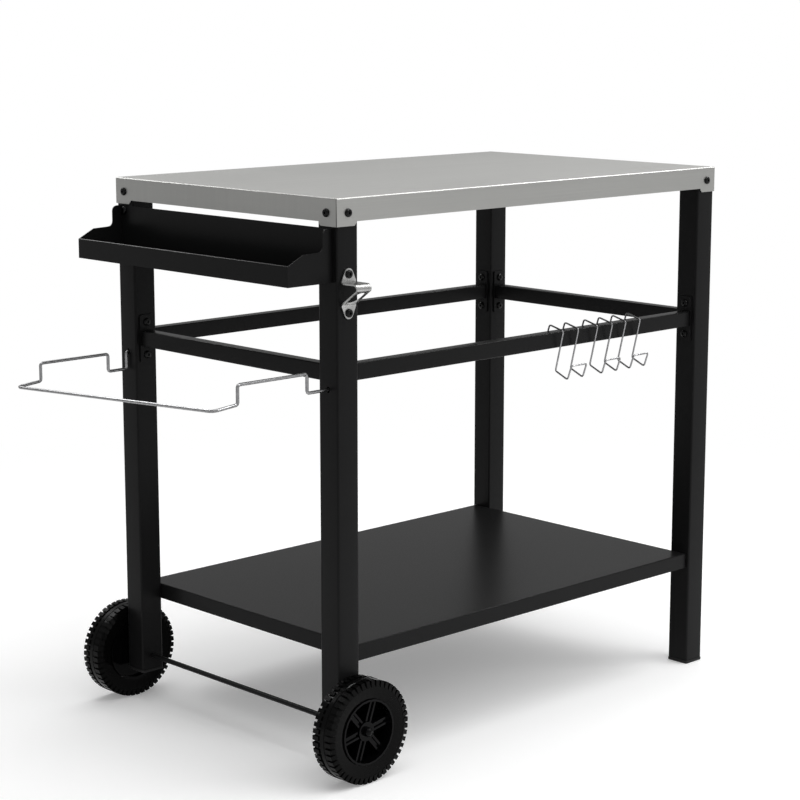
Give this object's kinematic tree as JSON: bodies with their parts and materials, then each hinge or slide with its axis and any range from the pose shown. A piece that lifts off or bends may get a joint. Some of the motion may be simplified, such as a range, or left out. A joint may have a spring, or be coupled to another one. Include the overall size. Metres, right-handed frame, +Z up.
{
  "type": "grill cart",
  "caption": "Rolling steel work table with a lower shelf, two wheels, a spice tray, a bag ring, hooks on the front rail, a roll holder and a bottle opener.",
  "frame": {"origin": "on the floor, under the middle of the cart's outer box", "axes": "+X along the long side, away from the wheels; -Y is the front, which carries the hooks and the opener; +Z up"},
  "size_m": [1.1105, 0.604, 0.85],
  "materials": {
    "stainless": "fine brushed stainless sheet",
    "black_steel": "satin black powder coat",
    "chrome_wire": "bright plated wire and strip",
    "black_bolt": "black bolts",
    "tyre": "matt black",
    "hub_plastic": "slightly glossy black moulding",
    "cap_plastic": "matt black moulding"
  },
  "bodies": {
    "cart": {"axle": "black_steel", "axle_cap_back": "hub_plastic", "axle_cap_front": "hub_plastic", "bottle_opener": "chrome_wire", "foot_cap_back_left": "cap_plastic", "foot_cap_back_right": "cap_plastic", "foot_cap_front_left": "cap_plastic", "foot_cap_front_right": "cap_plastic", "leg_back_left": "black_steel", "leg_back_right": "black_steel", "leg_front_left": "black_steel", "leg_front_right": "black_steel", "lower_shelf": "black_steel", "opener_bolt_lower": "black_bolt", "opener_bolt_upper": "black_bolt", "rail_back": "black_steel", "rail_bolt_back_at_left_lower": "black_bolt", "rail_bolt_back_at_left_upper": "black_bolt", "rail_bolt_back_at_right_lower": "black_bolt", "rail_bolt_back_at_right_upper": "black_bolt", "rail_bolt_front_at_left_lower": "black_bolt", "rail_bolt_front_at_left_upper": "black_bolt", "rail_bolt_front_at_right_lower": "black_bolt", "rail_bolt_front_at_right_upper": "black_bolt", "rail_bolt_left_at_back_lower": "black_bolt", "rail_bolt_left_at_back_upper": "black_bolt", "rail_bolt_left_at_front_lower": "black_bolt", "rail_bolt_left_at_front_upper": "black_bolt", "rail_bolt_right_at_back_lower": "black_bolt", "rail_bolt_right_at_back_upper": "black_bolt", "rail_bolt_right_at_front_lower": "black_bolt", "rail_bolt_right_at_front_upper": "black_bolt", "rail_front": "black_steel", "rail_left": "black_steel", "rail_right": "black_steel", "shelf_bolt_back_left": "black_bolt", "shelf_bolt_back_right": "black_bolt", "shelf_bolt_front_left": "black_bolt", "shelf_bolt_front_right": "black_bolt", "spice_tray": "black_steel", "tabletop": "stainless", "top_bolt_back_left_end": "black_bolt", "top_bolt_back_left_face": "black_bolt", "top_bolt_back_right_end": "black_bolt", "top_bolt_back_right_face": "black_bolt", "top_bolt_front_left_end": "black_bolt", "top_bolt_front_left_face": "black_bolt", "top_bolt_front_right_end": "black_bolt", "top_bolt_front_right_face": "black_bolt", "tray_bolt_back": "black_bolt", "tray_bolt_front": "black_bolt"},
    "wheel_front": {"wheel_tyre_front": "tyre", "wheel_hub_front": "hub_plastic"},
    "wheel_back": {"wheel_tyre_back": "tyre", "wheel_hub_back": "hub_plastic"},
    "bag_ring": {"bag_ring": "chrome_wire"},
    "hook_1": {"double_hook_1": "chrome_wire"},
    "hook_2": {"double_hook_2": "chrome_wire"},
    "hook_3": {"double_hook_3": "chrome_wire"},
    "roll_holder": {"roll_holder": "chrome_wire"}
  },
  "joints": [
    {"name": "front_wheel_spin", "type": "hinge", "parent": "cart", "child": "wheel_front", "pos_m": [-0.32383, -0.2802, 0.0775], "axis": [0, 1, 0], "continuous": true},
    {"name": "back_wheel_spin", "type": "hinge", "parent": "cart", "child": "wheel_back", "pos_m": [-0.32383, 0.2802, 0.0775], "axis": [0, 1, 0], "continuous": true},
    {"name": "bag_ring_swing", "type": "hinge", "parent": "cart", "child": "bag_ring", "pos_m": [-0.34308, 0, 0.5765], "axis": [0, 1, 0], "range_deg": [0, 45]},
    {"name": "hook_1_slide", "type": "slide", "parent": "cart", "child": "hook_1", "axis": [1, 0, 0], "range_m": [-0.424, 0.0205]},
    {"name": "hook_2_slide", "type": "slide", "parent": "cart", "child": "hook_2", "axis": [1, 0, 0], "range_m": [-0.0205, 0.014]},
    {"name": "hook_3_slide", "type": "slide", "parent": "cart", "child": "hook_3", "axis": [1, 0, 0], "range_m": [-0.014, 0.132]},
    {"name": "roll_holder_swing", "type": "hinge", "parent": "cart", "child": "roll_holder", "pos_m": [0.48782, -0.03, 0.595], "axis": [0, -1, 0], "range_deg": [0, 45]}
  ]
}
